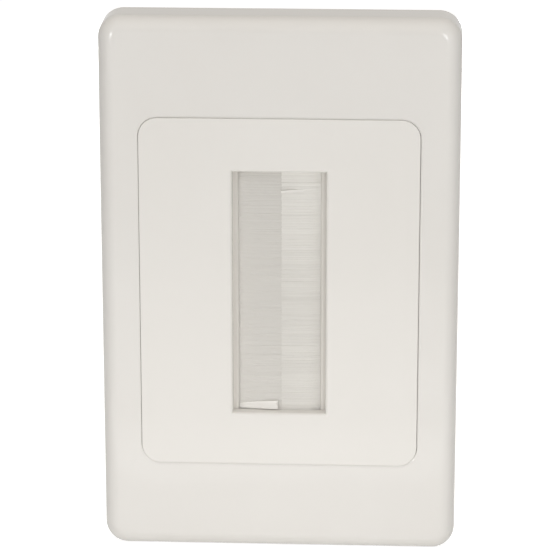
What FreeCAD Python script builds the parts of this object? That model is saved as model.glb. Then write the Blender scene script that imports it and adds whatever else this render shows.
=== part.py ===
import FreeCAD, Part
import math
import os
import Sketcher

# Brush cable entry wall plate: a clip-on cover round a base plate with a slot between two facing brushes.
# Frame: X to the right, Z up, the wall is the plane Y = 0 and the plate stands out of it towards -Y.
# The origin is midway between the two wall fixing holes.

# Driving sizes in millimetres, angles in degrees
SIZES = {
    # Cover
    "plate_width": 76.0,
    "plate_height": 117.0,
    "plate_depth": 10.5,
    "plate_corner": 5.0,
    "panel_drop": 0.9,
    "edge_round": 3.4,
    "draft_angle": 1.0,
    "cover_wall": 2.0,
    "rim_gap": 0.3,
    "window_side_gap": 0.1,
    "window_end_gap": 0.03,
    "bevel_width": 0.6,
    "bevel_depth": 0.35,
    "rib_reach": 2.0,
    "rib_thickness": 1.2,
    "rib_root": 0.4,
    "side_rib_spacing": 24.0,
    "end_rib_spacing": 36.0,
    "pry_width": 8.0,
    "pry_depth": 1.4,
    "cut_margin": 1.0,
    # Snap fit between cover and base plate
    "snap_spacing": 62.0,
    "nib_length": 10.0,
    "nib_reach": 0.9,
    "nib_height": 0.9,
    "nib_land": 0.3,
    "nib_root": 0.3,
    "ledge_thickness": 1.0,
    "snap_clearance": 0.1,
    "notch_inset": 1.2,
    # Base plate
    "flange_thickness": 2.5,
    "flange_clearance": 0.4,
    "flange_corner": 2.6,
    "panel_width": 59.0,
    "panel_height": 76.0,
    "panel_corner": 4.0,
    "panel_thickness": 2.8,
    "panel_wall": 2.0,
    "panel_edge": 0.1,
    "slot_edge": 0.75,
    "slot_width": 19.8,
    "slot_height": 53.1,
    "rail_thickness": 1.4,
    "rail_height": 3.4,
    "web_thickness": 1.2,
    "web_height": 3.0,
    "web_spacing": 29.0,
    # Wall fixing
    "fixing_spacing": 84.0,
    "fixing_hole": 4.2,
    "fixing_boss": 9.6,
    "fixing_boss_height": 1.2,
    "countersink_width": 7.4,
    "countersink_angle": 90.0,
    # Brushes
    "brush_show": 1.2,
    "holder_width": 5.6,
    "holder_overlap": 1.45,
    "holder_throat": 3.0,
    "holder_hook": 0.25,
    "holder_skin": 0.35,
    "holder_lip": 1.8,
    "holder_back": 0.8,
    "seat_clearance": 0.1,
    "bristle_inset": 0.2,
    "seam_offset": 0.35,
    "tip_gap": 0.1,
    "tuft_pitch": 0.8,
    "tuft_groove": 0.18,
    "stray_rise": 1.3,
    "stray_height": 0.9,
    # Clamp frame and its screws
    "clamp_thickness": 1.7,
    "clamp_edge": 2.9,
    "clamp_corner": 2.0,
    "clamp_clearance": 0.35,
    "clamp_hole": 3.2,
    "cable_edge": 0.6,
    "screw_spacing": 44.0,
    "screw_shank": 2.5,
    "screw_length": 6.5,
    "screw_head": 5.2,
    "screw_head_height": 1.5,
    "screw_head_taper": 0.7,
    "recess_span": 2.8,
    "recess_width": 0.7,
    "recess_depth": 0.8,
    "boss_width": 5.4,
    "boss_drop": 0.1,
    "boss_inset": 0.4,
    "pilot_clearance": 0.05,
    "pilot_spare": 0.5,
}

LEAST_LENGTH = 0.001
LEAST_VOLUME = 0.001

# Places worked out from the sizes: X across, Z up, and distances in front of the wall
COVER_INNER_X = "(Sizes.plate_width / 2 - Sizes.cover_wall)"
COVER_INNER_Z = "(Sizes.plate_height / 2 - Sizes.cover_wall)"
FLANGE_X = f"({COVER_INNER_X} - Sizes.flange_clearance)"
FLANGE_Z = f"({COVER_INNER_Z} - Sizes.flange_clearance)"
CAVITY_X = "(Sizes.panel_width / 2 - Sizes.panel_wall)"
CAVITY_Z = "(Sizes.panel_height / 2 - Sizes.panel_wall)"
PANEL_BACK = "(Sizes.plate_depth - Sizes.panel_thickness)"
HOLDER_INNER = "(Sizes.slot_width / 2 - Sizes.brush_show)"
HOLDER_OUTER = f"({HOLDER_INNER} + Sizes.holder_width)"
HOLDER_LENGTH = "(Sizes.slot_height + 2 * Sizes.holder_overlap)"
CHAMBER_HALF = "(Sizes.holder_throat / 2 + Sizes.holder_hook)"
HOLDER_HALF = f"({CHAMBER_HALF} + Sizes.holder_skin)"
HOLDER_BACK = f"({PANEL_BACK} - 2 * {HOLDER_HALF})"
BRUSH_MIDDLE = f"({PANEL_BACK} - {HOLDER_HALF})"
BRISTLE_LENGTH = f"({HOLDER_LENGTH} - 2 * Sizes.bristle_inset)"
BRISTLE_HALF = "(Sizes.holder_throat / 2 - Sizes.seat_clearance)"
BRISTLE_FRONT = f"({BRUSH_MIDDLE} + {BRISTLE_HALF})"
BRISTLE_BACK = f"({BRUSH_MIDDLE} - {BRISTLE_HALF})"
RAIL_INNER_X = f"({HOLDER_OUTER} + Sizes.seat_clearance)"
RAIL_OUTER_X = f"({RAIL_INNER_X} + Sizes.rail_thickness)"
RAIL_INNER_Z = f"({HOLDER_LENGTH} / 2 + Sizes.seat_clearance)"
RAIL_OUTER_Z = f"({RAIL_INNER_Z} + Sizes.rail_thickness)"
SCREW_X = f"({RAIL_OUTER_X} + Sizes.boss_inset + Sizes.boss_width / 2)"
SCREW_Z = "(Sizes.screw_spacing / 2)"
CLAMP_BACK = f"({HOLDER_BACK} - Sizes.clamp_thickness)"
LEDGE_BACK = "(Sizes.flange_thickness - Sizes.ledge_thickness)"

doc = FreeCAD.newDocument("brush_plate")
sheet = doc.addObject("Spreadsheet::Sheet", "Sizes")
for row, (alias, value) in enumerate(SIZES.items(), 1):
    sheet.set(f"A{row}", alias)
    sheet.set(f"B{row}", str(value))
    sheet.setAlias(f"B{row}", alias)
doc.recompute()


# Small helpers for bound sketches and features

def number(expression):
    return float(sheet.evalExpression(expression))


def new_body(label):
    body = doc.addObject("PartDesign::Body", label)
    body.Label = label
    return body


def origin_feature(body, role):
    return next(item for item in body.Origin.OriginFeatures if item.Role == role)


def new_sketch(body, name, role, offset=None):
    sketch = body.newObject("Sketcher::SketchObject", name)
    sketch.AttachmentSupport = [(origin_feature(body, role), "")]
    sketch.MapMode = "FlatFace"
    if offset:
        sketch.setExpression("AttachmentOffset.Base.z", offset)
    return sketch


def bind_value(sketch, constraint, expression):
    index = sketch.addConstraint(constraint)
    sketch.setExpression(f"Constraints[{index}]", expression)


def bind_coordinate(sketch, kind, curve, end, expression):
    value = number(expression)
    if abs(value) < LEAST_LENGTH:
        axis = -2 if kind == "DistanceX" else -1
        sketch.addConstraint(Sketcher.Constraint("PointOnObject", curve, end, axis))
    elif value > 0:
        bind_value(sketch, Sketcher.Constraint(kind, -1, 1, curve, end, value), expression)
    else:
        bind_value(sketch, Sketcher.Constraint(kind, curve, end, -1, 1, -value), f"-({expression})")


def bind_point(sketch, curve, end, point):
    bind_coordinate(sketch, "DistanceX", curve, end, point[0])
    bind_coordinate(sketch, "DistanceY", curve, end, point[1])


def outline(sketch, points):
    corners = [FreeCAD.Vector(number(x), number(y), 0) for x, y in points]
    first = sketch.GeometryCount
    count = len(corners)
    for i in range(count):
        sketch.addGeometry(Part.LineSegment(corners[i], corners[(i + 1) % count]), False)
    for i in range(count):
        following = first + (i + 1) % count
        sketch.addConstraint(Sketcher.Constraint("Coincident", first + i, 2, following, 1))
    for i in range(count):
        bind_point(sketch, first + i, 1, points[i])


def rectangle(sketch, low_x, high_x, low_y, high_y):
    outline(sketch, [(low_x, low_y), (high_x, low_y), (high_x, high_y), (low_x, high_y)])


def circle(sketch, point, diameter):
    centre = FreeCAD.Vector(number(point[0]), number(point[1]), 0)
    ring = Part.Circle(centre, FreeCAD.Vector(0, 0, 1), number(diameter) / 2)
    curve = sketch.addGeometry(ring, False)
    bind_point(sketch, curve, 3, point)
    bind_value(sketch, Sketcher.Constraint("Diameter", curve, number(diameter)), diameter)


def rounded_rectangle(sketch, half_x, half_y, radius, rise="0"):
    x = number(half_x)
    low = number(f"{rise} - {half_y}")
    high = number(f"{rise} + {half_y}")
    r = number(radius)
    first = sketch.GeometryCount
    ends = [
        ((-x + r, low), (x - r, low)),
        ((x, low + r), (x, high - r)),
        ((x - r, high), (-x + r, high)),
        ((-x, high - r), (-x, low + r)),
    ]
    centres = [(x - r, low + r), (x - r, high - r), (-x + r, high - r), (-x + r, low + r)]
    quarter = math.pi / 2
    for start, finish in ends:
        line = Part.LineSegment(FreeCAD.Vector(*start, 0), FreeCAD.Vector(*finish, 0))
        sketch.addGeometry(line, False)
    for i, centre in enumerate(centres):
        ring = Part.Circle(FreeCAD.Vector(*centre, 0), FreeCAD.Vector(0, 0, 1), r)
        sketch.addGeometry(Part.ArcOfCircle(ring, (i - 1) * quarter, i * quarter), False)
    sides = len(ends)
    for i in range(sides):
        line = first + i
        arc = first + sides + i
        following = first + (i + 1) % sides
        sketch.addConstraint(Sketcher.Constraint("Tangent", line, 2, arc, 1))
        sketch.addConstraint(Sketcher.Constraint("Tangent", arc, 2, following, 1))
        sketch.addConstraint(Sketcher.Constraint("Vertical" if i % 2 else "Horizontal", line))
    for i in range(1, sides):
        sketch.addConstraint(Sketcher.Constraint("Equal", first + sides, first + sides + i))
    bind_value(sketch, Sketcher.Constraint("Radius", first + sides, r), radius)
    bind_coordinate(sketch, "DistanceY", first, 1, f"{rise} - {half_y}")
    bind_coordinate(sketch, "DistanceX", first + 1, 1, half_x)
    bind_coordinate(sketch, "DistanceY", first + 2, 1, f"{rise} + {half_y}")
    bind_coordinate(sketch, "DistanceX", first + 3, 1, f"-{half_x}")


def extrude(body, kind, name, sketch, length=None, backwards=False, both_ways=False):
    feature = body.newObject(f"PartDesign::{kind}", name)
    feature.Profile = sketch
    feature.AllowMultiFace = True
    feature.Reversed = backwards
    if both_ways:
        feature.SideType = "Symmetric"
    if length:
        feature.setExpression("Length", length)
    else:
        feature.Type = "ThroughAll"
    doc.recompute()
    return feature


def pad(body, name, sketch, length, backwards=False, both_ways=False):
    return extrude(body, "Pad", name, sketch, length, backwards, both_ways)


def pocket(body, name, sketch, length=None, backwards=False):
    before = body.Shape.Volume
    feature = extrude(body, "Pocket", name, sketch, length, backwards)
    if body.Shape.Volume > before - LEAST_VOLUME:
        raise ValueError(f"{name} cuts nothing")
    return feature


def dress(body, kind, name, base, elements, value_name, expression):
    feature = body.newObject(f"PartDesign::{kind}", name)
    feature.Base = (base, elements)
    feature.setExpression(value_name, expression)
    doc.recompute()
    return feature


def mirror(name, source, normal):
    feature = doc.addObject("Part::Mirroring", name)
    feature.Source = source
    feature.Normal = normal
    return feature


def edges_where(feature, test):
    return [f"Edge{n}" for n, edge in enumerate(feature.Shape.Edges, 1) if test(edge.BoundBox)]


def lies_at(box, distance):
    y = -number(distance)
    return abs(box.YMin - y) < LEAST_LENGTH and abs(box.YMax - y) < LEAST_LENGTH


def within(box, half_x, half_z):
    reach_x = max(box.XMax, -box.XMin)
    reach_z = max(box.ZMax, -box.ZMin)
    return reach_x < number(half_x) and reach_z < number(half_z)


# The cover: a tapered, rounded shell with a window, seating ribs, snap nibs and a notch to pry it off

def make_cover():
    body = new_body("cover")
    rim = new_sketch(body, "cover_rim", "XZ_Plane", "Sizes.rim_gap")
    rounded_rectangle(
        rim, "Sizes.plate_width / 2", "Sizes.plate_height / 2", "Sizes.plate_corner", "Sizes.panel_drop"
    )
    block = pad(body, "cover_block", rim, "Sizes.plate_depth - Sizes.rim_gap")
    block.setExpression("TaperAngle", "-Sizes.draft_angle")
    doc.recompute()
    front = edges_where(block, lambda box: lies_at(box, "Sizes.plate_depth"))
    dress(body, "Fillet", "front_rounding", block, front, "Radius", "Sizes.edge_round")
    hollow = new_sketch(body, "hollow_outline", "XZ_Plane", "Sizes.rim_gap")
    hollow_corner = "Sizes.plate_corner - Sizes.cover_wall"
    rounded_rectangle(hollow, COVER_INNER_X, COVER_INNER_Z, hollow_corner, "Sizes.panel_drop")
    hollow_depth = "Sizes.plate_depth - Sizes.cover_wall - Sizes.rim_gap"
    shell = pocket(body, "cover_hollow", hollow, hollow_depth, backwards=True)
    shell.setExpression("TaperAngle", "-Sizes.draft_angle")
    doc.recompute()
    floor = edges_where(shell, lambda box: lies_at(box, "Sizes.plate_depth - Sizes.cover_wall"))
    dress(body, "Chamfer", "inner_bevel", shell, floor, "Size", "Sizes.edge_round - Sizes.cover_wall")

    window = new_sketch(body, "window_outline", "XZ_Plane")
    rounded_rectangle(
        window,
        "(Sizes.panel_width / 2 + Sizes.window_side_gap)",
        "(Sizes.panel_height / 2 + Sizes.window_end_gap)",
        "Sizes.panel_corner + Sizes.window_side_gap",
    )
    opening = pocket(body, "window", window, backwards=True)
    margin_x = "Sizes.panel_width / 2 + Sizes.cut_margin"
    margin_z = "Sizes.panel_height / 2 + Sizes.cut_margin"
    mouth = edges_where(
        opening, lambda box: lies_at(box, "Sizes.plate_depth") and within(box, margin_x, margin_z)
    )
    bevel = dress(body, "Chamfer", "window_bevel", opening, mouth, "Size", "Sizes.bevel_depth")
    bevel.ChamferType = "Two distances"
    bevel.setExpression("Size2", "Sizes.bevel_width")
    doc.recompute()

    ribs = new_sketch(body, "rib_sections", "XZ_Plane", "Sizes.flange_thickness")
    for across in ("", "-"):
        for up in ("", "-"):
            place = f"{up}Sizes.side_rib_spacing / 2"
            rectangle(
                ribs,
                f"{across}({COVER_INNER_X} - Sizes.rib_reach)",
                f"{across}({COVER_INNER_X} + Sizes.rib_root)",
                f"{place} - Sizes.rib_thickness / 2",
                f"{place} + Sizes.rib_thickness / 2",
            )
            place = f"{across}Sizes.end_rib_spacing / 2"
            rectangle(
                ribs,
                f"{place} - Sizes.rib_thickness / 2",
                f"{place} + Sizes.rib_thickness / 2",
                f"Sizes.panel_drop + {up}({COVER_INNER_Z} - Sizes.rib_reach)",
                f"Sizes.panel_drop + {up}({COVER_INNER_Z} + Sizes.rib_root)",
            )
    rib_length = "Sizes.plate_depth - Sizes.cover_wall + Sizes.rib_root - Sizes.flange_thickness"
    pad(body, "seating_ribs", ribs, rib_length)

    nibs = new_sketch(body, "nib_section", "XY_Plane", "Sizes.snap_spacing / 2")
    nib_front = f"({LEDGE_BACK} - Sizes.snap_clearance)"
    for across in ("", "-"):
        root = f"{across}({COVER_INNER_X} + Sizes.nib_root)"
        tip = f"{across}({COVER_INNER_X} - Sizes.nib_reach)"
        outline(nibs, [
            (root, f"-{nib_front}"),
            (tip, f"-{nib_front}"),
            (tip, f"-({nib_front} - Sizes.nib_land)"),
            (root, f"-({nib_front} - Sizes.nib_height)"),
        ])
    upper = pad(body, "upper_nibs", nibs, "Sizes.nib_length", both_ways=True)
    lower = body.newObject("PartDesign::Mirrored", "lower_nibs")
    lower.Originals = [upper]
    lower.MirrorPlane = (origin_feature(body, "XY_Plane"), [""])
    body.Tip = lower
    doc.recompute()

    pry = new_sketch(body, "pry_outline", "XZ_Plane")
    rectangle(
        pry,
        "-Sizes.pry_width / 2",
        "Sizes.pry_width / 2",
        "Sizes.panel_drop - (Sizes.plate_height / 2 + Sizes.cut_margin)",
        f"Sizes.panel_drop - ({COVER_INNER_Z} - Sizes.flange_clearance / 2)",
    )
    pocket(body, "pry_notch", pry, "Sizes.rim_gap + Sizes.pry_depth", backwards=True)
    return body


# The base plate: flange, raised hollow panel, slot, fixing holes, snap ledges and the seats for the brushes

def make_base_plate():
    body = new_body("base_plate")
    flange = new_sketch(body, "flange_outline", "XZ_Plane")
    rounded_rectangle(flange, FLANGE_X, FLANGE_Z, "Sizes.flange_corner", "Sizes.panel_drop")
    pad(body, "flange", flange, "Sizes.flange_thickness")
    panel = new_sketch(body, "panel_outline", "XZ_Plane")
    rounded_rectangle(panel, "Sizes.panel_width / 2", "Sizes.panel_height / 2", "Sizes.panel_corner")
    pad(body, "panel", panel, "Sizes.plate_depth")
    bosses = new_sketch(body, "fixing_boss_outlines", "XZ_Plane")
    for up in ("", "-"):
        circle(bosses, ("0", f"{up}Sizes.fixing_spacing / 2"), "Sizes.fixing_boss")
    pad(body, "fixing_bosses", bosses, "Sizes.flange_thickness + Sizes.fixing_boss_height")

    cavity = new_sketch(body, "cavity_outline", "XZ_Plane")
    rounded_rectangle(cavity, CAVITY_X, CAVITY_Z, "Sizes.panel_corner - Sizes.panel_wall")
    pocket(body, "rear_cavity", cavity, PANEL_BACK, backwards=True)
    slot = new_sketch(body, "slot_outline", "XZ_Plane")
    rectangle(
        slot,
        "-Sizes.slot_width / 2",
        "Sizes.slot_width / 2",
        "-Sizes.slot_height / 2",
        "Sizes.slot_height / 2",
    )
    opened = pocket(body, "cable_slot", slot, backwards=True)
    mouth_x = "Sizes.slot_width / 2 + Sizes.cut_margin"
    mouth_z = "Sizes.slot_height / 2 + Sizes.cut_margin"
    mouth = edges_where(
        opened, lambda box: lies_at(box, "Sizes.plate_depth") and within(box, mouth_x, mouth_z)
    )
    eased = dress(body, "Fillet", "slot_rounding", opened, mouth, "Radius", "Sizes.slot_edge")
    rim = edges_where(
        eased, lambda box: lies_at(box, "Sizes.plate_depth") and not within(box, mouth_x, mouth_z)
    )
    dress(body, "Chamfer", "panel_bevel", eased, rim, "Size", "Sizes.panel_edge")

    rails = new_sketch(body, "rail_outlines", "XZ_Plane", PANEL_BACK)
    for across in ("", "-"):
        outline(rails, [
            (f"{across}{RAIL_INNER_X}", f"-{RAIL_INNER_Z}"),
            (f"{across}{HOLDER_INNER}", f"-{RAIL_INNER_Z}"),
            (f"{across}{HOLDER_INNER}", f"-{RAIL_OUTER_Z}"),
            (f"{across}{RAIL_OUTER_X}", f"-{RAIL_OUTER_Z}"),
            (f"{across}{RAIL_OUTER_X}", RAIL_OUTER_Z),
            (f"{across}{HOLDER_INNER}", RAIL_OUTER_Z),
            (f"{across}{HOLDER_INNER}", RAIL_INNER_Z),
            (f"{across}{RAIL_INNER_X}", RAIL_INNER_Z),
        ])
    pad(body, "holder_rails", rails, "Sizes.rail_height", backwards=True)
    webs = new_sketch(body, "web_outlines", "XZ_Plane", PANEL_BACK)
    for across in ("", "-"):
        for up in ("", "-"):
            place = f"{up}Sizes.web_spacing / 2"
            rectangle(
                webs,
                f"{across}{RAIL_OUTER_X}",
                f"{across}{CAVITY_X}",
                f"{place} - Sizes.web_thickness / 2",
                f"{place} + Sizes.web_thickness / 2",
            )
    pad(body, "stiffening_webs", webs, "Sizes.web_height", backwards=True)
    screw_bosses = new_sketch(body, "screw_boss_outlines", "XZ_Plane", PANEL_BACK)
    pilots = new_sketch(body, "pilot_outlines", "XZ_Plane")
    for across in ("", "-"):
        for up in ("", "-"):
            centre = (f"{across}{SCREW_X}", f"{up}{SCREW_Z}")
            circle(screw_bosses, centre, "Sizes.boss_width")
            circle(pilots, centre, "Sizes.screw_shank + 2 * Sizes.pilot_clearance")
    pad(body, "screw_bosses", screw_bosses, f"2 * {HOLDER_HALF} - Sizes.boss_drop", backwards=True)
    pilot_depth = f"{CLAMP_BACK} + Sizes.screw_length + Sizes.pilot_spare"
    pocket(body, "pilot_holes", pilots, pilot_depth, backwards=True)

    notches = new_sketch(body, "notch_outlines", "XZ_Plane")
    for across in ("", "-"):
        for up in ("", "-"):
            place = f"{up}Sizes.snap_spacing / 2"
            reach = "(Sizes.nib_length / 2 + Sizes.cut_margin)"
            rectangle(
                notches,
                f"{across}({FLANGE_X} - Sizes.notch_inset)",
                f"{across}({FLANGE_X} + Sizes.cut_margin)",
                f"{place} - {reach}",
                f"{place} + {reach}",
            )
    pocket(body, "snap_ledges", notches, LEDGE_BACK, backwards=True)

    boss_front = "Sizes.flange_thickness + Sizes.fixing_boss_height"
    fixing = new_sketch(body, "fixing_centres", "XZ_Plane", boss_front)
    for up in ("", "-"):
        circle(fixing, ("0", f"{up}Sizes.fixing_spacing / 2"), "Sizes.fixing_hole")
    doc.recompute()
    before = body.Shape.Volume
    holes = body.newObject("PartDesign::Hole", "fixing_holes")
    holes.Profile = fixing
    holes.DepthType = "ThroughAll"
    holes.HoleCutType = "Countersink"
    holes.HoleCutCustomValues = True
    holes.setExpression("Diameter", "Sizes.fixing_hole")
    holes.setExpression("HoleCutDiameter", "Sizes.countersink_width")
    holes.setExpression("HoleCutCountersinkAngle", "Sizes.countersink_angle")
    doc.recompute()
    if body.Shape.Volume > before - LEAST_VOLUME:
        raise ValueError("fixing_holes cut nothing")
    return body


# A brush holder: an extruded channel whose narrow throat keeps the bristles' bead in its chamber

def make_holder(label):
    body = new_body(label)
    section = new_sketch(body, f"{label}_section", "XY_Plane")
    throat_front = f"-({BRUSH_MIDDLE} + Sizes.holder_throat / 2)"
    throat_back = f"-({BRUSH_MIDDLE} - Sizes.holder_throat / 2)"
    chamber_front = f"-({BRUSH_MIDDLE} + {CHAMBER_HALF})"
    chamber_back = f"-({BRUSH_MIDDLE} - {CHAMBER_HALF})"
    lip = f"{HOLDER_INNER} + Sizes.holder_lip"
    deep = f"{HOLDER_OUTER} - Sizes.holder_back"
    outline(section, [
        (HOLDER_INNER, f"-{PANEL_BACK}"),
        (HOLDER_OUTER, f"-{PANEL_BACK}"),
        (HOLDER_OUTER, f"-{HOLDER_BACK}"),
        (HOLDER_INNER, f"-{HOLDER_BACK}"),
        (HOLDER_INNER, throat_back),
        (lip, throat_back),
        (lip, chamber_back),
        (deep, chamber_back),
        (deep, chamber_front),
        (lip, chamber_front),
        (lip, throat_front),
        (HOLDER_INNER, throat_front),
    ])
    pad(body, f"{label}_channel", section, HOLDER_LENGTH, both_ways=True)
    return body


# A bristle pack: a bead that the holder grips and a combed sheet of bristles that ends at the seam

def make_bristles(label, tip):
    body = new_body(label)
    section = new_sketch(body, f"{label}_section", "XY_Plane")
    bead_half = f"({CHAMBER_HALF} - Sizes.seat_clearance)"
    bead_front = f"-({BRUSH_MIDDLE} + {bead_half})"
    bead_back = f"-({BRUSH_MIDDLE} - {bead_half})"
    neck = f"{HOLDER_INNER} + Sizes.holder_lip + Sizes.seat_clearance"
    root = f"{HOLDER_OUTER} - Sizes.holder_back - Sizes.seat_clearance"
    outline(section, [
        (tip, f"-{BRISTLE_FRONT}"),
        (neck, f"-{BRISTLE_FRONT}"),
        (neck, bead_front),
        (root, bead_front),
        (root, bead_back),
        (neck, bead_back),
        (neck, f"-{BRISTLE_BACK}"),
        (tip, f"-{BRISTLE_BACK}"),
    ])
    pad(body, f"{label}_sheet", section, BRISTLE_LENGTH, both_ways=True)

    comb = new_sketch(body, f"{label}_groove", "YZ_Plane", tip)
    low = f"-{BRISTLE_LENGTH} / 2"
    middle = f"{low} + Sizes.tuft_pitch / 2"
    high = f"{low} + Sizes.tuft_pitch"
    for face, floor in (
        (BRISTLE_FRONT, f"{BRISTLE_FRONT} - Sizes.tuft_groove"),
        (BRISTLE_BACK, f"{BRISTLE_BACK} + Sizes.tuft_groove"),
    ):
        outline(comb, [(f"-{face}", low), (f"-({floor})", middle), (f"-{face}", high)])
    groove = pocket(body, f"{label}_first_groove", comb, f"{HOLDER_INNER} - ({tip})", backwards=True)
    combed = body.newObject("PartDesign::LinearPattern", f"{label}_grooves")
    combed.Originals = [groove]
    combed.Direction = (origin_feature(body, "Z_Axis"), [""])
    combed.Mode = "Spacing"
    combed.setExpression("Offset", "Sizes.tuft_pitch")
    combed.setExpression("Occurrences", f"floor({BRISTLE_LENGTH} / Sizes.tuft_pitch)")
    body.Tip = combed
    doc.recompute()
    return body


# The stray tuft: bristles at the left brush's lower end that lean forward out of the row

def add_stray_tuft(body, tip):
    foot = "Sizes.slot_height / 2 - Sizes.stray_height - 2 * Sizes.seat_clearance"
    wedge = new_sketch(body, "stray_outline", "XY_Plane", foot)
    inside = f"-({BRUSH_MIDDLE})"
    outline(wedge, [
        (HOLDER_INNER, inside),
        (HOLDER_INNER, f"-{BRISTLE_FRONT}"),
        (tip, f"-({BRISTLE_FRONT} + Sizes.stray_rise)"),
        (tip, inside),
    ])
    pad(body, "stray_tuft", wedge, "Sizes.stray_height")


# The clamp frame: a flat rear frame, round the same opening as the slot, that presses the holders home

def make_clamp_frame():
    body = new_body("clamp_frame")
    plan = new_sketch(body, "clamp_plan", "XZ_Plane", HOLDER_BACK)
    edge_x = f"({SCREW_X} + Sizes.clamp_edge)"
    edge_z = f"({RAIL_OUTER_Z} + Sizes.boss_inset)"
    rounded_rectangle(plan, edge_x, edge_z, "Sizes.clamp_corner")
    open_x = "(Sizes.slot_width / 2 + Sizes.clamp_clearance)"
    open_z = "(Sizes.slot_height / 2 + Sizes.clamp_clearance)"
    rectangle(plan, f"-{open_x}", open_x, f"-{open_z}", open_z)
    for across in ("", "-"):
        for up in ("", "-"):
            circle(plan, (f"{across}{SCREW_X}", f"{up}{SCREW_Z}"), "Sizes.clamp_hole")
    flat = pad(body, "clamp_flat", plan, "Sizes.clamp_thickness", backwards=True)
    margin_x = f"{open_x} + Sizes.cut_margin"
    margin_z = f"{open_z} + Sizes.cut_margin"
    mouth = edges_where(flat, lambda box: lies_at(box, CLAMP_BACK) and within(box, margin_x, margin_z))
    dress(body, "Chamfer", "cable_edge", flat, mouth, "Size", "Sizes.cable_edge")
    return body


# The clamp screws: one pan-head self-tapping screw, repeated at the four corners

def make_clamp_screws():
    body = new_body("clamp_screw")
    section = new_sketch(body, "screw_section", "XY_Plane", SCREW_Z)
    shank = f"{SCREW_X} + Sizes.screw_shank / 2"
    head = f"{SCREW_X} + Sizes.screw_head / 2"
    end = f"-({CLAMP_BACK} + Sizes.screw_length)"
    top = f"-({CLAMP_BACK} - Sizes.screw_head_height)"
    outline(section, [
        (SCREW_X, end),
        (shank, end),
        (shank, f"-{CLAMP_BACK}"),
        (head, f"-{CLAMP_BACK}"),
        (f"{head} - Sizes.screw_head_taper", top),
        (SCREW_X, top),
    ])
    turned = body.newObject("PartDesign::Revolution", "screw_turned")
    turned.Profile = section
    axis_line = Part.LineSegment(
        FreeCAD.Vector(number(SCREW_X), number(end), 0),
        FreeCAD.Vector(number(SCREW_X), number(top), 0),
    )
    axis = section.addGeometry(axis_line, True)
    bind_point(section, axis, 1, (SCREW_X, end))
    bind_point(section, axis, 2, (SCREW_X, top))
    turned.ReferenceAxis = (section, ["Axis0"])
    doc.recompute()

    for name, half_x, half_z in (
        ("recess_across", "Sizes.recess_span / 2", "Sizes.recess_width / 2"),
        ("recess_upright", "Sizes.recess_width / 2", "Sizes.recess_span / 2"),
    ):
        groove = new_sketch(body, f"{name}_outline", "XZ_Plane", f"{CLAMP_BACK} - Sizes.screw_head_height")
        rectangle(
            groove,
            f"{SCREW_X} - {half_x}",
            f"{SCREW_X} + {half_x}",
            f"{SCREW_Z} - {half_z}",
            f"{SCREW_Z} + {half_z}",
        )
        pocket(body, name, groove, "Sizes.recess_depth", backwards=True)

    upper_left = mirror("upper_left_screw", body, FreeCAD.Vector(1, 0, 0))
    lower_right = mirror("lower_right_screw", body, FreeCAD.Vector(0, 0, 1))
    lower_left = mirror("lower_left_screw", upper_left, FreeCAD.Vector(0, 0, 1))
    group = doc.addObject("Part::Compound", "clamp_screws")
    group.Label = "clamp_screws"
    group.Links = [body, upper_left, lower_right, lower_left]
    doc.recompute()
    return group


right_tip = "Sizes.seam_offset + Sizes.tip_gap / 2"
left_tip = "-Sizes.seam_offset + Sizes.tip_gap / 2"
left_holder = make_holder("left_brush_holder")
left_bristles = make_bristles("left_bristles", left_tip)
add_stray_tuft(left_bristles, left_tip)
half_turn = FreeCAD.Rotation(FreeCAD.Vector(0, 1, 0), 180)
for piece in (left_holder, left_bristles):
    piece.Placement = FreeCAD.Placement(FreeCAD.Vector(), half_turn)

nodes = [
    make_cover(),
    make_base_plate(),
    left_holder,
    left_bristles,
    make_holder("right_brush_holder"),
    make_bristles("right_bristles", right_tip),
    make_clamp_frame(),
    make_clamp_screws(),
]
doc.recompute()

# Every object must be sound before anything is written
for item in doc.Objects:
    if "Invalid" in item.State or "Error" in item.State:
        raise ValueError(f"{item.Label} failed: {item.State}")
for node in nodes:
    if node.Shape.isNull() or not node.Shape.isValid():
        raise ValueError(f"{node.Label} has no valid shape")

os.makedirs("parts", exist_ok=True)
for node in nodes:
    node.Shape.exportStep(f"parts/{node.Label}.step")
    box = node.Shape.BoundBox
    print(f"{node.Label}: {len(node.Shape.Solids)} solids, {node.Shape.Volume:.1f} mm3,",
          f"{box.XLength:.2f} x {box.YLength:.2f} x {box.ZLength:.2f} mm")
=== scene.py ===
# %% [markdown]
# # A brush cable entry wall plate
# The object is an upright wall plate in warm white plastic. A clip-on cover with rounded edges surrounds a flush
# panel, and a tall slot in the panel is closed by two facing brushes, so that cables can pass through a wall.
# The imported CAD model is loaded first, because it fixes every size and place. Blender then adds what a solid model
# lacks: smooth shading, plastic that takes the light, and brushes made of separate bristles.

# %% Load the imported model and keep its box
import math

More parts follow.
